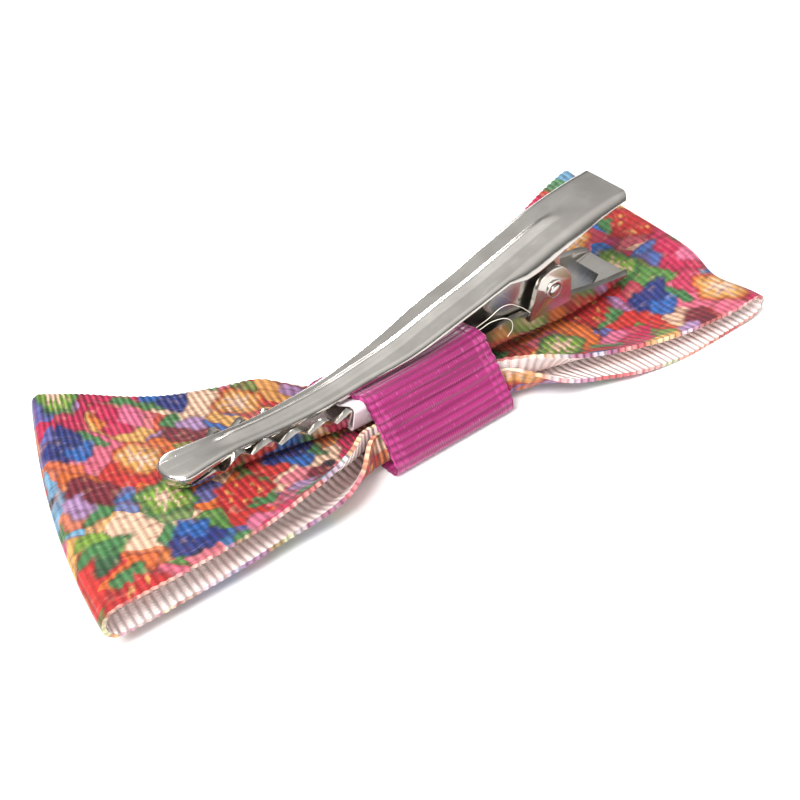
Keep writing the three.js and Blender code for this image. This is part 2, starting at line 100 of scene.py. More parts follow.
def curve(*rows):
    """A smooth curve through (x, value) rows, level where the rows turn back."""
    xs, values = (np.array(column, float) for column in zip(*rows))
    steps = np.diff(values)
    slopes = np.zeros(len(xs))
    slopes[0], slopes[-1] = steps[0] / (xs[1] - xs[0]), steps[-1] / (xs[-1] - xs[-2])
    runs = (values[2:] - values[:-2]) / (xs[2:] - xs[:-2])
    slopes[1:-1] = np.where(steps[:-1] * steps[1:] <= 0, 0, runs)

    def at(x):
        x = np.clip(x, xs[0], xs[-1])
        i = np.clip(np.searchsorted(xs, x) - 1, 0, len(xs) - 2)
        span = xs[i + 1] - xs[i]
        t = (x - xs[i]) / span
        rise = (values[i + 1] - values[i]) * t * t * (3 - 2 * t)
        return values[i] + rise + span * (slopes[i] * t * (1 - t) ** 2 - slopes[i + 1] * t * t * (1 - t))

    return at


def smooth_step(x, low, high):
    t = np.clip((x - low) / (high - low), 0, 1)
    return t * t * (3 - 2 * t)


def dress(piece, *materials):
    piece.data.materials.clear()
    for material in materials:
        piece.data.materials.append(material)


def band(name, grid, along, across, thickness, materials, paint=None):
    """A closed loop of ribbon from a grid of points in mm, with its weave map in metres.

    Rows of the grid follow each other round the loop and its columns run across the ribbon.
    The face that looks outwards takes the first material, the inner face the second and the
    selvedges the third. Paint is one colour and cover for each point of the grid."""
    rows, columns, _ = grid.shape
    faces, weave = [], []
    ends = np.append(along, along[-1] + np.linalg.norm(grid[0, columns // 2] - grid[-1, columns // 2]))
    for i in range(rows):
        after = (i + 1) % rows
        for j in range(columns - 1):
            faces.append((i * columns + j, after * columns + j, after * columns + j + 1, i * columns + j + 1))
            for u, v in ((i, j), (i + 1, j), (i + 1, j + 1), (i, j + 1)):
                weave += [ends[u] * MM, across[v] * MM]
    mesh = bpy.data.meshes.new(name)
    mesh.from_pydata([tuple(p) for p in (grid.reshape(-1, 3) * MM)], [], faces)
    mesh.uv_layers.new(name="weave").data.foreach_set("uv", weave)
    if paint is not None:
        mesh.color_attributes.new("print", "FLOAT_COLOR", "POINT").data.foreach_set("color", paint.ravel())
    piece = bpy.data.objects.new(name, mesh)
    bpy.context.collection.objects.link(piece)
    dress(piece, *materials)
    only(piece)
    bpy.ops.object.modifier_add(type="SOLIDIFY")
    wall = piece.modifiers[-1]
    wall.thickness = thickness * MM
    wall.offset = 0
    wall.material_offset = 1
    wall.material_offset_rim = 2
    bpy.ops.object.modifier_apply(modifier=wall.name)
    bpy.ops.object.shade_smooth_by_angle(angle=math.radians(50))
    return piece


# ---- finishes ----


class Value:
    """A socket that takes part in arithmetic; every operator adds its Math node."""

    def __init__(self, finish, socket):
        self.finish, self.socket = finish, socket

    def math(self, operation, *others):
        return self.finish.node("ShaderNodeMath", {"operation": operation}, dict(enumerate((self, *others))))

    def __add__(self, other):
        return self.math("ADD", other)

    def __sub__(self, other):
        return self.math("SUBTRACT", other)

    def __mul__(self, other):
        return self.math("MULTIPLY", other)

    def __truediv__(self, other):
        return self.math("DIVIDE", other)

    def __rsub__(self, other):
        return self.finish.node("ShaderNodeMath", {"operation": "SUBTRACT"}, {0: other, 1: self})

    __radd__ = __add__
    __rmul__ = __mul__

    def step(self, low, high):
        """0 below low, 1 above high and smooth between."""
        settings = {"interpolation_type": "SMOOTHSTEP"}
        return self.finish.node("ShaderNodeMapRange", settings, {"Value": self, "From Min": low, "From Max": high})


class Finish:
    """A material and its nodes."""

    def __init__(self, name):
        self.material = bpy.data.materials.new(name)
        self.material.use_nodes = True
        self.tree = self.material.node_tree
        self.tree.nodes.clear()

    def node(self, kind, settings=None, inputs=None, output=0):
        """Adds a node: its settings first, then the values or links of its sockets."""
        node = self.tree.nodes.new(kind)
        for key, value in (settings or {}).items():
            if key == "stops":
                self.stops(node.color_ramp, value)
            else:
                setattr(node, key, value)
        for key, value in (inputs or {}).items():
            socket = node.inputs[key]
            if isinstance(value, Value):
                self.tree.links.new(value.socket, socket)
            else:
                socket.default_value = value
        return Value(self, node.outputs[output])

    def stops(self, ramp, rows):
        while len(ramp.elements) < len(rows):
            ramp.elements.new(0.5)
        for element, (position, colour) in zip(ramp.elements, rows):
            element.position, element.color = position, colour

    def place(self):
        return self.node("ShaderNodeTexCoord", output=3)

    def stretched(self, vector, scale, location=(0, 0, 0), turn=0.0):
        inputs = {"Vector": vector, "Location": location, "Rotation": (0, 0, turn), "Scale": scale}
        return self.node("ShaderNodeMapping", {"vector_type": "POINT"}, inputs)

    def noise(self, vector, scale, detail=3.0, output=0):
        inputs = {"Vector": vector, "Scale": scale, "Detail": detail}
        return self.node("ShaderNodeTexNoise", {}, inputs, output)

    def ramp(self, value, stops, interpolation="LINEAR"):
        node = self.node("ShaderNodeValToRGB", {"stops": stops}, {"Fac": value})
        node.socket.node.color_ramp.interpolation = interpolation
        return node

    def mix(self, share, first, second, blend="MIX"):
        settings = {"data_type": "RGBA", "blend_type": blend}
        return self.node("ShaderNodeMix", settings, {0: share, 6: first, 7: second}, 2)

    def bump(self, height, distance, strength=1.0):
        inputs = {"Height": height, "Distance": distance, "Strength": strength}
        return self.node("ShaderNodeBump", {}, inputs)

    def surface(self, **inputs):
        """Ends the material in a Principled surface."""
        named = {key.replace("_", " "): value for key, value in inputs.items()}
        shader = self.node("ShaderNodeBsdfPrincipled", {}, named)
        output = self.tree.nodes.new("ShaderNodeOutputMaterial")
        self.tree.links.new(shader.socket, output.inputs["Surface"])
        return self.material


def plated_steel(name, settings):
    """Bright nickel plate with faint rolling marks, hairline scratches and a little haze."""
    finish = Finish(name)
    place = finish.place()
    haze = finish.noise(place, 260.0, 4.0)
    marks = finish.noise(finish.stretched(place, (160.0, 5200.0, 5200.0)), 1.0, 2.0)
    scratch = finish.noise(finish.stretched(place, (90.0, 2600.0, 1500.0), turn=0.5), 1.0, 5.0)
    hairline = scratch.step(0.62, 0.66) * haze.step(0.45, 0.6)
    orange_peel = finish.noise(place, 1500.0, 1.0)
    tone = finish.mix(haze.step(0.35, 0.7), settings.plate_shade, settings.plate_colour)
    tone = finish.mix(hairline * 0.25, tone, linear(236, 232, 226))
    height = orange_peel * 0.5 + marks * 0.25 + hairline * 0.3
    return finish.surface(
        Base_Color=tone,
        Metallic=1.0,
        Roughness=settings.plate_roughness + haze * 0.08 + marks * 0.05,
        Normal=finish.bump(height, 0.000006),
    )


def spring_steel(settings):
    """Darker tempered strip with lengthwise rolling lines and a bluish edge tone."""
    finish = Finish("spring_strip")
    place = finish.place()
    lines = finish.noise(finish.stretched(place, (120.0, 9000.0, 120.0)), 1.0, 3.0)
    cloud = finish.noise(place, 420.0, 3.0)
    tone = finish.mix(cloud.step(0.4, 0.7), settings.spring_colour, linear(150, 152, 158))
    return finish.surface(
        Base_Color=tone,
        Metallic=1.0,
        Roughness=0.2 + lines * 0.12,
        Normal=finish.bump(lines, 0.000008),
    )


def ribs_of(finish, pitch, thread):
    """Grosgrain ribs across a ribbon: their height, how deep the grooves are, and the threads."""
    weave = finish.node("ShaderNodeUVMap", {"uv_map": "weave"})
    parts = finish.node("ShaderNodeSeparateXYZ", {}, {0: weave})
    along, across = parts, Value(finish, parts.socket.node.outputs[1])
    drift = finish.noise(weave, 300.0, 2.0)
    phase = along * (2 * math.pi / pitch) + drift * 1.2
    ridge = 0.5 - 0.5 * phase.math("COSINE")
    row = (along / pitch + drift * 0.19).math("FLOOR")
    strand = (across * (2 * math.pi / thread) + row * 2.1).math("SINE") * 0.5 + 0.5
    return weave, along, across, ridge, strand


PRINT_TONES = (
    (0.0, linear(214, 52, 44)),
    (0.16, linear(236, 128, 48)),
    (0.29, linear(240, 196, 108)),
    (0.41, linear(206, 44, 96)),
    (0.52, linear(92, 160, 72)),
    (0.62, linear(238, 122, 150)),
    (0.71, linear(54, 118, 200)),
    (0.8, linear(250, 226, 190)),
    (0.88, linear(176, 150, 206)),
    (0.94, linear(120, 190, 226)),
)

REPEAT = 61.2  # length of ribbon (mm) after which the print repeats

RED, ROSE, MAROON = (206, 40, 40), (214, 40, 96), (128, 26, 48)
ORANGE, AMBER, CREAM = (232, 104, 40), (240, 188, 100), (250, 226, 196)
LEAF, LIME, MOSS = (74, 150, 84), (138, 196, 70), (58, 112, 70)
SKY, BLUE, NAVY = (150, 196, 232), (36, 112, 200), (32, 56, 140)
PINK, LILAC, PIP = (240, 130, 170), (186, 160, 212), (40, 26, 40)
PRINT_COLUMNS, PRINT_ROWS = 12, 4  # fruits along one repeat, and rows of them across the ribbon


def strawberry():
    """A red berry with a leafy cap and a ring of pale seeds."""
    yield 0.0, 0.0, 2.3, 2.5, 0.0, RED
    for turn in (-0.7, 0.0, 0.7):
        yield 1.2 * math.sin(turn), 2.2, 0.45, 0.9, turn, LEAF
    for k in range(6):
        yield 1.2 * math.cos(k * math.pi / 3), 1.2 * math.sin(k * math.pi / 3) - 0.3, 0.22, 0.3, 0.0, AMBER


def citrus_slice(rind, flesh):
    """A round slice with its rind and the pale skins between the segments."""
    yield 0.0, 0.0, 2.3, 2.3, 0.0, rind
    yield 0.0, 0.0, 1.85, 1.85, 0.0, flesh
    for k in range(4):
        yield 0.0, 0.0, 1.8, 0.16, k * math.pi / 4, CREAM


def berry_cluster(light, dark):
    """Three round berries with one leaf."""
    yield 0.2, 2.0, 1.7, 0.7, 0.5, LEAF
    for k, tone in enumerate((dark, light, dark)):
        angle = k * math.tau / 3 - math.pi / 2
        yield 1.1 * math.cos(angle), 1.1 * math.sin(angle), 1.35, 1.35, 0.0, tone


def leaf_spray():
    """Three leaves fanned out from one point."""
    for turn, tone in ((-0.8, MOSS), (0.8, LIME), (0.0, LEAF)):
        yield 1.0 * math.sin(turn), 0.6, 0.8, 2.2, -turn, tone


def print_motifs():
    """The ellipses of one repeat: a half-drop lattice of fruits, each turned a little further."""
    kinds = (
        strawberry,
        lambda: citrus_slice(ORANGE, AMBER),
        lambda: berry_cluster(BLUE, NAVY),
        leaf_spray,
        lambda: berry_cluster(PINK, ROSE),
        lambda: citrus_slice(LEAF, LIME),
        lambda: berry_cluster(LILAC, MAROON),
    )
    step_u, step_v = REPEAT / PRINT_COLUMNS, 22 / PRINT_ROWS
    for column in range(PRINT_COLUMNS):
        for row in range(PRINT_ROWS + 1):
            spin = 0.9 * column + 1.7 * row
            middle_u = (column + 0.5) * step_u - REPEAT / 2
            middle_v = (row - PRINT_ROWS / 2 + 0.5 * (column % 2)) * step_v
            for u, v, half_u, half_v, turn, tone in kinds[(2 * column + 3 * row) % len(kinds)]():
                across_u = u * math.cos(spin) - v * math.sin(spin)
                across_v = u * math.sin(spin) + v * math.cos(spin)
                yield middle_u + across_u, middle_v + across_v, half_u, half_v, turn + spin, tone


def painted_motifs(along, across):
    """The colour and cover of the motifs at every point of a ribbon grid; the print repeats."""
    u, v = np.meshgrid(along, across, indexing="ij")
    u = (u + REPEAT / 2) % REPEAT - REPEAT / 2
    u = u + 0.22 * np.sin(2.3 * v + 0.8 * u) + 0.1 * np.sin(5.1 * v - 2.7 * u)
    v = v + 0.22 * np.sin(2.1 * u - 0.6 * v) + 0.1 * np.sin(4.7 * u + 3.1 * v)
    paint = np.zeros((*u.shape, 4))
    for centre_u, centre_v, half_u, half_v, turn, colour in print_motifs():
        du = (u - centre_u + REPEAT / 2) % REPEAT - REPEAT / 2
        dv = v - centre_v
        out = (du * math.cos(turn) + dv * math.sin(turn)) / half_u
        side = (dv * math.cos(turn) - du * math.sin(turn)) / half_v
        reach = np.hypot(out, side)
        inside = (1 - smooth_step(reach, 0.82, 1.1))[..., None]
        shade = np.array(linear(*colour)) * (1 - 0.3 * smooth_step(reach + 0.25 * side, 0.5, 1.1))[..., None]
        shade[..., 3] = 1
        paint += (shade - paint) * inside
    return paint


def fruit_print(finish, weave):
    """The overlapping fruits, leaves and pips printed on the ribbon."""
    wobble = finish.noise(weave, 420.0, 2.0, 1)
    shift = finish.node("ShaderNodeVectorMath", {"operation": "SCALE"}, {0: wobble, 3: 0.0016})
    soft = finish.node("ShaderNodeVectorMath", {"operation": "ADD"}, {0: weave, 1: shift})
    inputs = {"Vector": soft, "Scale": 210.0, "Randomness": 0.9}
    pick = finish.node("ShaderNodeTexVoronoi", {}, inputs, 1)
    level = finish.node("ShaderNodeSeparateColor", {}, {0: pick})
    edge = finish.node("ShaderNodeTexVoronoi", {"feature": "DISTANCE_TO_EDGE"}, inputs)
    tone = finish.ramp(level, PRINT_TONES, "CONSTANT")
    inner = finish.node("ShaderNodeTexVoronoi", {}, {"Vector": soft, "Scale": 420.0}, 1)
    inner_level = finish.node("ShaderNodeSeparateColor", {}, {0: inner}, 1)
    second = finish.ramp(finish.node("ShaderNodeSeparateColor", {}, {0: inner}), PRINT_TONES, "CONSTANT")
    tone = finish.mix(inner_level.step(0.6, 0.64) * 0.85, tone, second)
    tone = finish.mix((1 - edge.step(0.02, 0.06)) * 0.45, tone, linear(120, 44, 40))
    pips = finish.node("ShaderNodeTexVoronoi", {}, {"Vector": weave, "Scale": 190.0})
    tone = finish.mix(1 - pips.step(0.1, 0.14), tone, linear(*PIP))
    painted = finish.node("ShaderNodeAttribute", {"attribute_name": "print"})
    cover = Value(finish, painted.socket.node.outputs["Alpha"])
    tone = finish.mix(cover, tone, painted)
    patches = finish.noise(soft, 900.0, 4.0)
    tone = finish.mix(patches.step(0.55, 0.8) * 0.35, tone, linear(250, 214, 170))
    return finish.mix((1 - patches.step(0.25, 0.45)) * 0.3, tone, linear(120, 24, 50))


def printed_grosgrain(settings):
    """The printed face: dye over ribs, with paler flecks where it misses the threads and painted shade darkening the
    grooves between the ribs.
    """
    finish = Finish("printed_grosgrain")
    weave, along, across, ridge, strand = ribs_of(finish, settings.rib_pitch, 0.00032)
    tone = fruit_print(finish, weave)
    fleck = finish.noise(finish.stretched(weave, (700.0, 2600.0, 1.0)), 1.0, 3.0)
    tone = finish.mix(fleck.step(0.58, 0.76) * 0.2, tone, linear(252, 236, 226))
    from_middle = (along.math("ABSOLUTE") * 1000).math("PINGPONG", REPEAT / 2)
    gathered = 1 - from_middle.step(12.0, 24.0) * 0.35
    # Painted shade: how much the grooves between the ribs are darkened, more near the gathered middle.
    painted_groove_shade = (1 - ridge.step(0.0, 0.6)) * gathered
    tone = finish.mix(1.0, tone, linear(222, 204, 204), "MULTIPLY")
    # Painted shade in the grooves between the ribs, a little less over the threads.
    tone = finish.mix(painted_groove_shade * (1 - strand * 0.4) * 0.62, tone, linear(110, 62, 66), "MULTIPLY")
    tone = finish.mix(fleck.step(0.5, 0.3) * 0.5, tone, linear(120, 74, 80), "MULTIPLY")
    height = (ridge + strand * 0.2 * ridge) * gathered
    return finish.surface(
        Base_Color=tone,
        Roughness=0.52 + fleck * 0.2,
        Normal=finish.bump(height, 0.00012),
        Sheen_Weight=0.12,
        Sheen_Roughness=0.4,
    )


def plain_grosgrain(settings):
    """The unprinted inner face, cream with a pink cast where the dye has come through, with painted shade in the
    grooves and a painted highlight on the thread tops.
    """
    finish = Finish("plain_grosgrain")
    weave, along, across, ridge, strand = ribs_of(finish, settings.rib_pitch, 0.0003)
    cloud = finish.noise(weave, 160.0, 3.0)
    tone = finish.mix(cloud.step(0.35, 0.7), settings.inner_colour, linear(250, 218, 212))
    # Painted shade: the grooves between the ribs are darkened.
    tone = finish.mix((1 - ridge.step(0.0, 0.5)) * 0.4, tone, linear(206, 178, 172), "MULTIPLY")
    # Painted highlight: the raised thread tops are lightened.
    tone = finish.mix(strand * 0.16, tone, linear(250, 240, 236))
    height = ridge.math("POWER", 0.7) + strand * 0.2 * ridge
    return finish.surface(
        Base_Color=tone, Roughness=0.62, Normal=finish.bump(height, 0.00018), Sheen_Weight=0.2
    )


def selvedge(name, settings, light, dark, printed=False):
    """Looped thread ends along a ribbon's edge, in alternating light and dark stitches."""
    finish = Finish(name)
    weave, along, across, ridge, strand = ribs_of(finish, settings.rib_pitch, 0.0003)
    stitch = finish.noise(finish.stretched(weave, (900.0, 40.0, 1.0)), 1.0, 1.0)
    tone = finish.mix(stitch.step(0.42, 0.56), light, dark)
    if printed:
        tone = finish.mix(0.35 + 0.4 * stitch, fruit_print(finish, weave), tone)
    # Painted shade: the grooves between the ribs are darkened.
    tone = finish.mix((1 - ridge) * 0.25, tone, linear(120, 80, 80), "MULTIPLY")
    return finish.surface(Base_Color=tone, Roughness=0.6, Normal=finish.bump(ridge, 0.00012))


def magenta_grosgrain(settings):
    """Fine glossy ribs along the clip, with two columns of loops near each selvedge; painted shade in the fold
    hollows and grooves, painted highlights on the thread tops, the loops and small glints.
    """
    finish = Finish("magenta_grosgrain")
    weave, along, across, ridge, strand = ribs_of(finish, settings.rib_pitch, 0.00021)
    border = across.math("ABSOLUTE").step(0.0046, 0.0048)
    column = (across.math("ABSOLUTE") * (math.pi / 0.00058)).math("SINE").math("ABSOLUTE")
    fold = finish.noise(finish.stretched(weave, (900.0, 60.0, 1.0)), 1.0, 2.0)
    painted_glint = finish.noise(finish.stretched(weave, (1500.0, 5200.0, 1.0)), 1.0, 2.0)
    # Painted shade: the hollows between the folds take the deeper magenta.
    tone = finish.mix(fold.step(0.35, 0.7), settings.wrap_hollow_shade_and_dark_stitch, settings.wrap_colour)
    # Painted shade: the grooves between the ribs are darkened.
    tone = finish.mix((1 - ridge.step(0.0, 0.7)) * 0.35, tone, linear(130, 26, 92), "MULTIPLY")
    # Painted highlight: the thread tops on the ribs are lightened.
    tone = finish.mix(strand.step(0.3, 1.0) * ridge * 0.22, tone, settings.wrap_highlight_and_light_stitch)
    # Painted glints: small light pink specks on the rib tops.
    tone = finish.mix(painted_glint.step(0.62, 0.7) * 0.2 * ridge, tone, linear(246, 150, 206))
    loops = column * border
    # Painted highlight on the raised loop columns near the selvedges.
    tone = finish.mix(loops * ridge * 0.4, tone, settings.wrap_highlight_and_light_stitch)
    height = ridge * (1 - border * 0.4) + strand * 0.22 + loops * 1.0 + fold * 0.5
    return finish.surface(
        Base_Color=tone,
        Roughness=0.3 + (1 - strand) * 0.14,
        Normal=finish.bump(height, 0.00005),
        Sheen_Weight=0.15,
    )


def satin_lining(settings):
    """Smooth white lining ribbon with a faint pink cast and very fine threads."""
    finish = Finish("satin_lining")
    weave = finish.node("ShaderNodeUVMap", {"uv_map": "weave"})
    threads = finish.noise(finish.stretched(weave, (9000.0, 900.0, 1.0)), 1.0, 2.0)
    cloud = finish.noise(weave, 240.0, 3.0)
    tone = finish.mix(cloud.step(0.3, 0.75), settings.lining_colour, linear(232, 212, 222))
    return finish.surface(
        Base_Color=finish.mix(threads * 0.2, tone, linear(214, 196, 204)),
        Roughness=0.42 + threads * 0.2,
        Normal=finish.bump(threads, 0.00002),
        Sheen_Weight=0.3,
    )


def hot_melt():
    """Cloudy, slightly see-through glue with a wet skin."""
    finish = Finish("hot_melt_glue")
    place = finish.place()
    cloud = finish.noise(place, 600.0, 4.0)
    tone = finish.mix(cloud, linear(244, 240, 230), linear(226, 218, 200))
    return finish.surface(
        Base_Color=tone,
        Roughness=0.16 + cloud * 0.2,
        Normal=finish.bump(cloud, 0.00006),
        Subsurface_Weight=0.2,
        Subsurface_Radius=(0.0006, 0.0005, 0.0004),
    )


# ---- the bow's loop ----

LEFT = {
    "end": -30.2,
    "swing": curve((0, 0), (6.4, 0), (11, -0.1), (16, 0.4), (20, 1.0), (25, 1.8), (31, 2.2)),
    "roll": curve((0, 0), (10, 0.02), (20, 0.07), (31, 0.19)),
    "skew": 3.1,
    "bulge": 0.95,
    "dent": 0.0,
    "height": (
        curve((0, 0.7), (7, 0.72), (14, 0.85), (22, 1.9), (31, 3.3)),
        curve((0, 1.6), (6, 1.65), (10, 2.55), (14, 3.15), (18, 3.55), (24, 4.6), (31, 5.9)),
    ),
    "gather": (
        curve((0, 0.69), (6.5, 0.69), (12, 0.76), (16, 0.76), (20, 0.81), (25, 0.87), (31, 0.9)),
        curve((0, 0.52), (6.5, 0.52), (10, 0.66), (14, 0.7), (20, 0.79), (25, 0.87), (31, 0.9)),
    ),
    "near": (
        curve((0, 120), (6.5, 112), (10, 56), (16, 22), (24, 4), (31, 2)),
        curve((0, 98), (6.5, 96), (10, 66), (14, 34), (20, 10), (31, 2)),
    ),
    "far": (
        curve((0, 120), (6.5, 112), (9, 52), (12, 24), (16, 16), (24, 12), (31, 8)),
        curve((0, 84), (6.5, 82), (9, 48), (12, 24), (20, 14), (31, 8)),
    ),
}
RIGHT = {
    "end": 29.3,
    "swing": curve((0, 0), (31, -0.2)),
    "roll": curve((0, 0), (10, 0.02), (20, 0.06), (31, 0.16)),
    "skew": -0.9,
    "bulge": -0.3,
    "dent": 1.2,
    "height": (
        curve((0, 0.7), (7, 0.72), (14, 0.75), (22, 1.0), (31, 2.3)),
        curve((0, 1.6), (6, 1.62), (10, 1.5), (16, 1.5), (20, 1.8), (25, 2.9), (31, 4.2)),
    ),
    "gather": (
        curve((0, 0.69), (5.5, 0.69), (8, 0.74), (12, 0.82), (16, 0.93), (22, 1), (31, 1)),
        curve((0, 0.52), (5.5, 0.52), (8, 0.66), (12, 0.76), (18, 0.88), (25, 0.98), (31, 1)),
    ),
    "near": (
        curve((0, 120), (5.5, 105), (7.5, 60), (10, 25), (14, 8), (20, 0), (31, 0)),
        curve((0, 98), (5.5, 96), (8, 78), (12, 40), (18, 20), (26, 2), (31, 0)),
    ),
    "far": (
        curve((0, 120), (6.5, 105), (10, 62), (16, 30), (24, 14), (31, 4)),
        curve((0, 84), (6.5, 82), (10, 66), (14, 38), (20, 22), (31, 4)),
    ),
}
MARGIN = ((0.6, 0.78), (0.6, 0.8))  # where the margins start to turn up, bottom and top layer
DENT = (-0.62, 0.24)
FAR_PINCH = curve((0, 0.79), (6.5, 0.79), (10, 0.95), (14, 1))
FOLD = 1.2  # radius of the folds at the wing ends
PLEAT = curve((0, 0), (5.6, 0), (7.5, 0.2), (11, 0.12), (17, 0))  # depth of the gathers


def half_section(arc, angle, turn_from, turn_to, count, fine=6):
    """Points (out, up) of half a ribbon section whose margin turns up by an angle in degrees."""
    steps = count * fine
    turn = math.radians(angle) * smooth_step((np.arange(steps) + 0.5) / steps, turn_from, turn_to)
    out = np.cumsum(arc * np.cos(turn)) / steps
    up = np.cumsum(arc * np.sin(turn)) / steps
    return out[fine - 1 :: fine], up[fine - 1 :: fine]


def bow_row(wing, distance, layer, count, width):
    """One row across the bow's ribbon; layer runs from 0, the bottom one, to 1, the top one."""

    def between(pair):
        return pair[0] + (pair[1] - pair[0]) * layer

    def value(key):
        return between([float(profile(distance)) for profile in wing[key]])

    turns = [between([margin[i] for margin in MARGIN]) for i in (0, 1)]
    arc = width / 2 * value("gather")
    near = half_section(arc, value("near"), *turns, count)
    far = half_section(arc * float(FAR_PINCH(distance)), value("far"), *turns, count)
    y = np.concatenate([-near[0][::-1], [0], far[0]])
    z = np.concatenate([near[1][::-1], [0], far[1]])
    t = np.linspace(-1, 1, 2 * count + 1)
    reach = (distance / abs(wing["end"])) ** 3
    dent = wing["dent"] * np.exp(-(((t - DENT[0]) / DENT[1]) ** 2))
    x = np.sign(wing["end"]) * distance + reach * (wing["skew"] * t + wing["bulge"] * t * t - dent)
    pleats = float(PLEAT(distance)) * np.sin(t * 17 + wing["skew"] + 2 * layer) * (1 - 0.6 * layer)
    height = value("height") + float(wing["roll"](distance)) * y + np.abs(pleats) * (0.5 + layer)
    return np.stack([x, float(wing["swing"](distance)) + y, height + z], axis=1)


def bow_rows(step, count, width):
    """Rows round the whole loop: left bottom, left fold, tops, right fold, right bottom."""
    rows = []
    for wing, way in ((LEFT, 1), (RIGHT, -1)):
        rest = abs(wing["end"]) - FOLD
        bend = round(2.7 * FOLD / step)
        turns = np.linspace(0, math.pi, bend + 1)[1:-1]
        straight = np.linspace(0, rest, round(rest / step) + 1)
        places = [(d, 0) for d in straight]
        places += [(rest + FOLD * math.sin(a), (1 - math.cos(a)) / 2) for a in turns]
        places += [(d, 1) for d in straight[::-1]]
        wing_rows = [bow_row(wing, d, layer, count, width) for d, layer in places]
        rows += wing_rows[::way][:-1]
    return np.array(rows)


def picot(grid, along, pitch, depth):
    """Pushes both selvedges in and out by the looped thread ends of every rib."""
    loops = np.abs(np.sin(along * math.pi / pitch))[:, None] * depth
    for edge, inner in ((0, 2), (-1, -3)):
        out = grid[:, edge] - grid[:, inner]
        grid[:, edge] += out / np.linalg.norm(out, axis=1)[:, None] * (loops - depth / 2)
    return grid


# ---- ribbons round the lower jaw, by distance along the clip (mm) ----

LOWER_FLOOR = curve((-10, 3.3), (-7, 2.97), (0, 2.95), (5, 3.02), (7.5, 3.05))
LOWER_RIM = curve((-9.4, 5.18), (-7.3, 5.05), (-5, 4.9), (0, 4.95), (4, 5.2), (6.2, 5.55))
LOWER_HALF = curve((-12, 2.1), (-7, 2.5), (5, 2.55), (10, 2.6))
NEAR_FLARE = curve((-9, 0.45), (-7, 0.42), (22.4, 0.35))
FAR_FLARE = curve((-14, 0.15), (-9, -0.15), (4, -0.2), (9, 0.3))
FAR_DROP = curve((-10, 0.8), (-7, 1.2), (-3, 1.0), (3, 0.7), (8, 0))
SAG = curve((-7.4, 0.9), (-2, 0.7), (5.4, 0.3))
SAG_HALF = 0.9
FIT = 0.1


def wall(x, side):
    """The flare and rim height of one wall of the lower jaw."""
    if side > 0:
        return float(FAR_FLARE(x)), float(LOWER_RIM(x) - FAR_DROP(x))
    return float(NEAR_FLARE(x)), float(LOWER_RIM(x))


def rounded(start, corner, end, count=8):
    """Points of a round corner between two straight runs."""
    t = np.linspace(0, 1, count)[:, None]
    start, corner, end = (np.array(p, float) for p in (start, corner, end))
    return [tuple(p) for p in start * (1 - t) ** 2 + 2 * corner * t * (1 - t) + end * t * t]


def spaced(points, count):
    """Points at even distances along a line of points."""
    points = np.array(points, float)
    run = np.append(0, np.cumsum(np.linalg.norm(np.diff(points, axis=0), axis=1)))
    even = np.linspace(0, run[-1], count)
    return np.stack([np.interp(even, run, points[:, k]) for k in (0, 1)], axis=1)


def liner_half(x, side, thickness):
    """Half of the white lining's loop, from under the jaw's floor up over one wall."""
    flare, rim = wall(x, side)
    off = FIT + thickness / 2
    foot = float(LOWER_HALF(x)) + off
    head, low, high = foot + flare, float(LOWER_FLOOR(x)) - off, rim + off
    middle = float(LOWER_RIM(x)) + off - float(SAG(x))
    line = [(0, low), *rounded((foot - 0.5, low), (foot, low), (foot + 0.05, low + 0.5))]
    line += rounded((head, high - 0.35), (head, high), (head - 0.3, high))
    return line + [(head - 0.62, high), (SAG_HALF, middle), (0, middle)]


def wrap_half(x, side, thickness, lining):
    """Half of the centre wrap's loop: flat foot, leaning side, soft sag on top."""
    flare, rim = wall(x, side)
    off = FIT * 2 + lining + thickness / 2
    foot, lean, lean_z = (5.4, 3.45, 3.8) if side > 0 else (6.65, 4.75, 4.1)
    head, low, high = float(LOWER_HALF(x)) + flare + off + 0.05, thickness / 2, rim + off
    middle = float(LOWER_RIM(x)) + off - float(SAG(x))
    line = [(0, low), *rounded((foot - 0.9, low), (foot + 0.25, low), (foot - 0.15, 1.3))]
    line += rounded((foot - 0.35, 1.6), (lean, lean_z), (head, high - 0.5), 12)
    line += rounded((head - 0.02, high - 0.45), (head - 0.1, high + 0.05), (head - 0.7, high))
    return line + [(head - 1.02, high), (SAG_HALF, middle), (0, middle)]


def sleeve_grid(half, span, around, across):
    """Loops of a sleeve as a grid of points, with the distance round the loop."""
    stations = np.linspace(*span, across)
    loops = []
    for x in stations:
        far, near = spaced(half(x, 1), around), spaced(half(x, -1), around)[::-1][1:-1]
        loop = np.concatenate([far, near * (-1, 1)])
        loops.append(np.column_stack([np.full(len(loop), x), loop]))
    grid = np.array(loops).transpose(1, 0, 2)
    middle = grid[:, across // 2]
    along = np.append(0, np.cumsum(np.linalg.norm(np.diff(middle, axis=0), axis=1)))
    return grid, along, stations - np.mean(span)


# ---- sizes and colours ----


def colour(name, description, value):
    return FloatVectorProperty(
        name=name, description=description, subtype="COLOR", size=4, min=0, max=1, default=value
    )


def length(name, description, value):
    return FloatProperty(name=name, description=description, unit="LENGTH", precision=5, default=value)


class MetalSettings(bpy.types.PropertyGroup):
    """Finish of the stamped jaws, the pin and the spring"""

    plate_colour: colour("Plate", "Colour of the nickel plate", linear(214, 210, 203))
    plate_shade: colour("Plate haze", "Colour where the plate is hazy", linear(196, 191, 184))
    spring_colour: colour("Spring", "Colour of the tempered spring strip", linear(172, 169, 164))
    plate_roughness: FloatProperty(
        name="Roughness", description="Roughness of clean plate", subtype="FACTOR", min=0, max=1, default=0.14
    )
    edge_round: length("Edge rounding", "Rounding of the stamped edges", 0.00006)


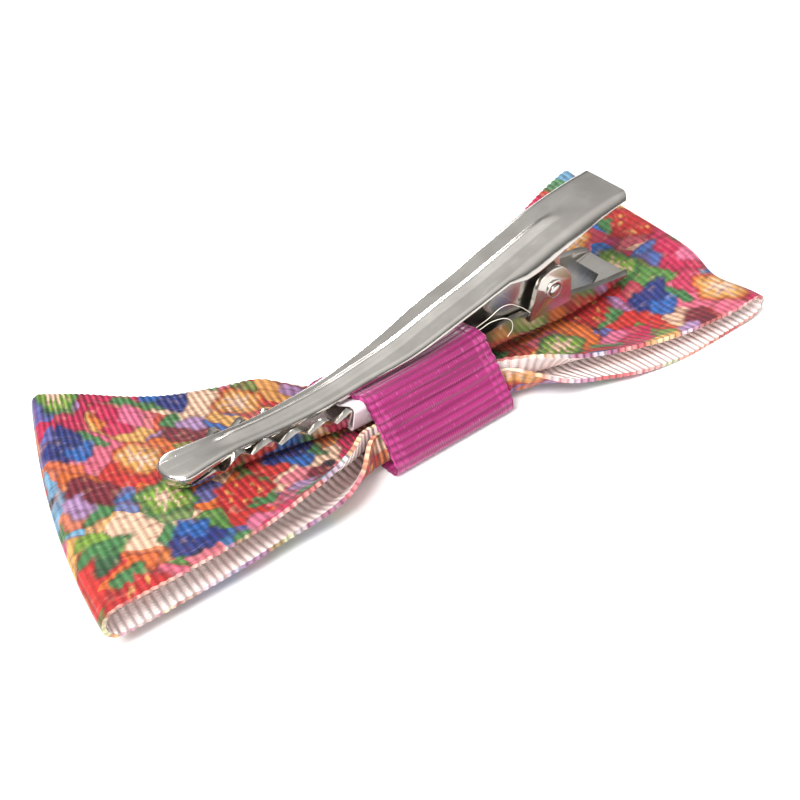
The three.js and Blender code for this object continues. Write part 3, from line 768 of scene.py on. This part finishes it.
class BowSettings(bpy.types.PropertyGroup):
    """Size and finish of the printed ribbon"""

    ribbon_width: length("Width", "Width of the printed ribbon", 0.022)
    thickness: length("Thickness", "Thickness of the printed ribbon", 0.00034)
    rib_pitch: length("Rib pitch", "Distance between the ribs", 0.00058)
    inner_colour: colour("Inner face", "Colour of the unprinted face", linear(252, 240, 236))


class WrapSettings(bpy.types.PropertyGroup):
    """Size and finish of the magenta centre wrap"""

    thickness: length("Thickness", "Thickness of the wrap's ribbon", 0.00034)
    rib_pitch: length("Rib pitch", "Distance between the wrap's ribs", 0.0006)
    wrap_colour: colour("Magenta", "Main colour of the wrap", linear(154, 31, 102))
    # Painted shade for the wrap's fold hollows, also the dark stitches of its selvedge.
    wrap_hollow_shade_and_dark_stitch: colour("Deep magenta", "Colour in the wrap's hollows", linear(136, 25, 90))
    # Painted highlight on the wrap's thread tops and loops, also the light stitches of its selvedge.
    wrap_highlight_and_light_stitch: colour("Light magenta", "Colour on the wrap's thread tops", linear(206, 74, 150))


class LinerSettings(bpy.types.PropertyGroup):
    """Size and finish of the white lining"""

    thickness: length("Thickness", "Thickness of the lining ribbon", 0.00016)
    lining_colour: colour("Lining", "Colour of the lining ribbon", linear(246, 236, 240))


class StudioSettings(bpy.types.PropertyGroup):
    """Floor and lights"""

    floor_colour: colour("Floor", "Colour of the floor", linear(250, 250, 250))
    key_power: FloatProperty(
        name="Key light", description="Power of the large top light", unit="POWER", min=0, default=0.32
    )


# ---- operators ----


def frame_copy(node, name, material, rounding=0.0):
    """A merged, smooth-shaded copy of a frame node that takes its place."""
    piece = bpy.data.objects.new(name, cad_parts[node].data.copy())
    bpy.context.collection.objects.link(piece)
    only(piece)
    bpy.ops.mesh.customdata_custom_splitnormals_clear()
    bpy.ops.object.mode_set(mode="EDIT")
    bpy.ops.mesh.select_all(action="SELECT")
    bpy.ops.mesh.remove_doubles(threshold=0.000002)
    bpy.ops.mesh.tris_convert_to_quads(face_threshold=math.radians(12), shape_threshold=math.radians(60))
    bpy.ops.object.mode_set(mode="OBJECT")
    if rounding:
        bpy.ops.object.modifier_add(type="BEVEL")
        bevel = piece.modifiers[-1]
        bevel.width, bevel.segments = rounding, 2
        bevel.limit_method, bevel.angle_limit = "ANGLE", math.radians(48)
        bevel.harden_normals = False
        bpy.ops.object.modifier_apply(modifier=bevel.name)
    bpy.ops.object.shade_smooth_by_angle(angle=math.radians(38))
    bpy.ops.object.modifier_add(type="WEIGHTED_NORMAL")
    piece.modifiers[-1].keep_sharp = True
    bpy.ops.object.modifier_apply(modifier=piece.modifiers[-1].name)
    dress(piece, material)
    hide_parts(node)
    return piece


class HAIRCLIP_OT_jaws(bpy.types.Operator):
    """Both stamped and plated jaws, with rounded edges"""

    bl_idname = "hairclip.jaws"
    bl_label = "Jaws"

    def execute(self, context):
        settings = context.scene.clip_metal
        plate = plated_steel("nickel_plate", settings)
        for node, body in (("upper_jaw", "lever"), ("lower_jaw", "base")):
            piece = frame_copy(node, node + "_plate", plate, settings.edge_round)
            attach(piece, body)
        return {"FINISHED"}


class HAIRCLIP_OT_pivot_pin(bpy.types.Operator):
    """The peened pin that joins the jaws"""

    bl_idname = "hairclip.pivot_pin"
    bl_label = "Pivot pin"

    def execute(self, context):
        plate = plated_steel("pin_plate", context.scene.clip_metal)
        piece = frame_copy("pivot_pin", "pivot_pin_peened", plate)
        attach(piece, "base")
        return {"FINISHED"}


class HAIRCLIP_OT_leaf_spring(bpy.types.Operator):
    """The bent strip that holds the jaws shut"""

    bl_idname = "hairclip.leaf_spring"
    bl_label = "Leaf spring"

    def execute(self, context):
        piece = frame_copy("leaf_spring", "leaf_spring_strip", spring_steel(context.scene.clip_metal))
        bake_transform(piece)
        return {"FINISHED"}


class HAIRCLIP_OT_bow(bpy.types.Operator):
    """The printed ribbon, sewn into one flat loop and gathered in the middle"""

    bl_idname = "hairclip.bow"
    bl_label = "Bow ribbon"

    def execute(self, context):
        settings = context.scene.clip_bow
        width = settings.ribbon_width / MM
        pitch = settings.rib_pitch / MM
        grid = bow_rows(pitch / 4, 38, width)
        middle = grid[:, grid.shape[1] // 2]
        along = np.append(0, np.cumsum(np.linalg.norm(np.diff(middle, axis=0), axis=1)))
        top = [i for i in range(len(middle)) if middle[i, 2] > 1.3]
        along -= along[min(top, key=lambda i: abs(middle[i, 0]))]
        grid = picot(grid, along, pitch, 0.1)
        across = np.linspace(-width / 2, width / 2, grid.shape[1])
        finishes = (
            printed_grosgrain(settings),
            plain_grosgrain(settings),
            selvedge("printed_selvedge", settings, linear(250, 228, 204), linear(196, 120, 112), True),
        )
        paint = painted_motifs(along, across)
        piece = band("bow_ribbon_loop", grid, along, across, settings.thickness / MM, finishes, paint)
        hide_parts("bow_ribbon")
        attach(piece, "base")
        return {"FINISHED"}


class HAIRCLIP_OT_centre_wrap(bpy.types.Operator):
    """The magenta ribbon that ties the bow to the lower jaw"""

    bl_idname = "hairclip.centre_wrap"
    bl_label = "Centre wrap"

    def execute(self, context):
        settings = context.scene.clip_wrap
        thickness = settings.thickness / MM
        lining = context.scene.clip_liner.thickness / MM
        low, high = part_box("centre_wrap")
        span = (low.x / MM + 0.02, high.x / MM - 0.02)
        grid, along, across = sleeve_grid(lambda x, side: wrap_half(x, side, thickness, lining), span, 150, 45)
        grid = self.tucked(grid)
        grid = picot(grid, along, settings.rib_pitch / MM, 0.05)
        finishes = (
            magenta_grosgrain(settings),
            magenta_grosgrain(settings),
            selvedge("magenta_selvedge", settings, settings.wrap_highlight_and_light_stitch, settings.wrap_hollow_shade_and_dark_stitch),
        )
        piece = band("centre_wrap_ribbon", grid, along, across, thickness, finishes)
        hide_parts("centre_wrap")
        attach(piece, "base")
        along[-1] * MM
        return {"FINISHED"}

    def tucked(self, grid):
        """Soft folds along the clip where the ribbon turns over the near shoulder."""
        x, y, z = grid[..., 0], grid[..., 1], grid[..., 2]
        shoulder = smooth_step(-y, 2.4, 3.2) * smooth_step(z, 2.4, 3.8)
        wave = np.sin((z * 0.82 + y * 0.55) * 7.0 + 0.3 * np.sin(x * 0.9))
        fade = np.sqrt(np.clip(1 - (x / 7.4) ** 2, 0, 1))
        grid[..., 1] -= 0.1 * shoulder * wave * fade
        grid[..., 2] += 0.07 * shoulder * wave * fade
        return grid


class HAIRCLIP_OT_liner(bpy.types.Operator):
    """The white lining ribbon round the lower jaw, under the wrap"""

    bl_idname = "hairclip.liner"
    bl_label = "Jaw lining"

    def execute(self, context):
        settings = context.scene.clip_liner
        thickness = settings.thickness / MM
        low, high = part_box("jaw_liner")
        span = (low.x / MM, high.x / MM)
        grid, along, across = sleeve_grid(lambda x, side: liner_half(x, side, thickness), span, 90, 31)
        satin = satin_lining(settings)
        piece = band("jaw_lining_ribbon", grid, along, across, thickness, (satin, satin, satin))
        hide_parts("jaw_liner")
        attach(piece, "base")
        along[-1] * MM
        return {"FINISHED"}


class HAIRCLIP_OT_glue(bpy.types.Operator):
    """Hot-melt glue between the layers, and the fine strings it left beside the wrap"""

    bl_idname = "hairclip.glue"
    bl_label = "Glue"

    def execute(self, context):
        glue = hot_melt()
        for node in ("clip_glue", "fold_glue", "wrap_glue"):
            dress(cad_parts[node], glue)
        self.string(
            "glue_string_long", glue, [(5.6, -2.6, 5.9), (6.6, -3.2, 6.6), (7.8, -3.6, 6.4), (8.3, -3.5, 5.2), (8.0, -3.25, 4.4)]
        )
        self.string(
            "glue_string_short", glue, [(5.6, -2.2, 5.9), (6.2, -3.0, 6.9), (7.6, -3.3, 7.6), (9.4, -3.2, 6.6), (10.4, -3.3, 5.6)]
        )
        return {"FINISHED"}

    def string(self, name, glue, points):
        """A hair-thin string of glue through points in mm."""
        data = bpy.data.curves.new(name, "CURVE")
        data.dimensions, data.bevel_depth, data.bevel_resolution = "3D", 0.00003, 3
        data.use_fill_caps = True
        spline = data.splines.new("BEZIER")
        spline.bezier_points.add(len(points) - 1)
        for knot, point in zip(spline.bezier_points, points):
            knot.co = Vector(point) * MM
            knot.handle_left_type = knot.handle_right_type = "AUTO"
        piece = bpy.data.objects.new(name, data)
        bpy.context.collection.objects.link(piece)
        only(piece)
        bpy.ops.object.convert(target="MESH")
        piece = bpy.context.view_layer.objects.active
        bpy.ops.object.shade_smooth()
        dress(piece, glue)
        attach(piece, "base")


class HAIRCLIP_OT_stage(bpy.types.Operator):
    """Pale floor, soft lights and the camera"""

    bl_idname = "hairclip.stage"
    bl_label = "Stage"

    def execute(self, context):
        settings = context.scene.clip_studio
        bpy.ops.object.select_all(action="DESELECT")
        bpy.ops.mesh.primitive_plane_add(size=1.6, location=(0, 0, CAD_BOX[0].z))
        floor = context.view_layer.objects.active
        floor.name = "floor"
        finish = Finish("floor_paper")
        grain = finish.noise(finish.place(), 900.0, 3.0)
        tone = finish.mix(grain * 0.05, settings.floor_colour, linear(238, 238, 238))
        dress(floor, finish.surface(Base_Color=tone, Roughness=0.7, Normal=finish.bump(grain, 0.00001)))
        self.sky(context.scene)
        self.light("top_softbox", (-0.32, -0.1, 0.5), (0, 0, 0), settings.key_power * 14, 0.3)
        self.light("front_fill", (-0.3, -0.45, 0.25), (0, 0, 0), settings.key_power * 4.6, 0.3)
        self.light("far_strip", (0.12, 0.5, 0.2), (0, 0, 0.01), settings.key_power * 3, 0.06)
        self.camera(context.scene)
        return {"FINISHED"}

    def sky(self, scene):
        """Even pale surroundings with a darker band low round the horizon."""
        world = scene.world or bpy.data.worlds.new("surroundings")
        scene.world = world
        world.use_nodes = True
        nodes, links = world.node_tree.nodes, world.node_tree.links
        nodes.clear()
        place = nodes.new("ShaderNodeTexCoord")
        parts = nodes.new("ShaderNodeSeparateXYZ")
        links.new(place.outputs["Generated"], parts.inputs[0])
        up = nodes.new("ShaderNodeValToRGB")
        for position, shade in ((0.0, 0.6), (0.4, 0.4), (0.52, 0.1), (0.66, 0.25), (0.8, 0.5), (1.0, 0.62)):
            stop = up.color_ramp.elements.new(position) if 0 < position < 1 else up.color_ramp.elements[int(position)]
            stop.color = (shade, shade, shade, 1)
        lift = nodes.new("ShaderNodeMapRange")
        lift.inputs["From Min"].default_value = -1
        links.new(parts.outputs["Z"], lift.inputs["Value"])
        links.new(lift.outputs[0], up.inputs["Fac"])
        background = nodes.new("ShaderNodeBackground")
        links.new(up.outputs[0], background.inputs["Color"])
        background.inputs["Strength"].default_value = 1.0
        output = nodes.new("ShaderNodeOutputWorld")
        links.new(background.outputs[0], output.inputs["Surface"])

    def light(self, name, place, aim, power, size):
        data = bpy.data.lights.new(name, "AREA")
        data.energy, data.size = power, size
        lamp = bpy.data.objects.new(name, data)
        bpy.context.collection.objects.link(lamp)
        lamp.location = place
        lamp.rotation_euler = (Vector(aim) - Vector(place)).to_track_quat("-Z", "Y").to_euler()

    def camera(self, scene):
        """A long lens from the near left, a little above."""
        azimuth, elevation, roll = (math.radians(v) for v in (-36.18236, 38.72608, -4.11421))
        back = Vector(
            (math.sin(azimuth) * math.cos(elevation), -math.cos(azimuth) * math.cos(elevation), math.sin(elevation))
        )
        level = Vector((math.cos(azimuth), math.sin(azimuth), 0))
        upright = back.cross(level)
        right = math.cos(roll) * level + math.sin(roll) * upright
        up = math.cos(roll) * upright - math.sin(roll) * level
        place = (Vector((-3.90036, -4.28784, 4.98016)) + back * 118.12644) * MM
        data = bpy.data.cameras.new("camera")
        data.lens, data.sensor_width, data.clip_start = 69.84, 36, 0.005
        eye = bpy.data.objects.new("camera", data)
        bpy.context.collection.objects.link(eye)
        eye.matrix_world = Matrix.Translation(place) @ Matrix((right, up, back)).transposed().to_4x4()
        scene.camera = eye
        scene.view_settings.view_transform = "Standard"


class HAIRCLIP_PT_panel(bpy.types.Panel):
    """Settings and pieces of the hair clip"""

    bl_idname = "HAIRCLIP_PT_panel"
    bl_label = "Hair Clip"
    bl_space_type = "VIEW_3D"
    bl_region_type = "UI"
    bl_category = "Hair Clip"

    def draw(self, context):
        for name in SETTINGS:
            box = self.layout.box()
            for prop in getattr(context.scene, name).bl_rna.properties:
                if prop.identifier not in ("rna_type", "name"):
                    box.prop(getattr(context.scene, name), prop.identifier)
        for operator in OPERATORS:
            self.layout.operator(operator.bl_idname)


SETTINGS = {
    "clip_metal": MetalSettings,
    "clip_bow": BowSettings,
    "clip_wrap": WrapSettings,
    "clip_liner": LinerSettings,
    "clip_studio": StudioSettings,
}
OPERATORS = (
    HAIRCLIP_OT_stage,
    HAIRCLIP_OT_jaws,
    HAIRCLIP_OT_pivot_pin,
    HAIRCLIP_OT_leaf_spring,
    HAIRCLIP_OT_liner,
    HAIRCLIP_OT_bow,
    HAIRCLIP_OT_centre_wrap,
    HAIRCLIP_OT_glue,
)


def register():
    for group in (*SETTINGS.values(), *OPERATORS, HAIRCLIP_PT_panel):
        bpy.utils.register_class(group)
    for name, group in SETTINGS.items():
        setattr(bpy.types.Scene, name, PointerProperty(type=group))


def unregister():
    for name in SETTINGS:
        delattr(bpy.types.Scene, name)
    for group in reversed((*SETTINGS.values(), *OPERATORS, HAIRCLIP_PT_panel)):
        bpy.utils.unregister_class(group)


def main():
    register()
    for operator in OPERATORS:
        group, name = operator.bl_idname.split(".")
        getattr(getattr(bpy.ops, group), name)()


if __name__ == "__main__":
    main()
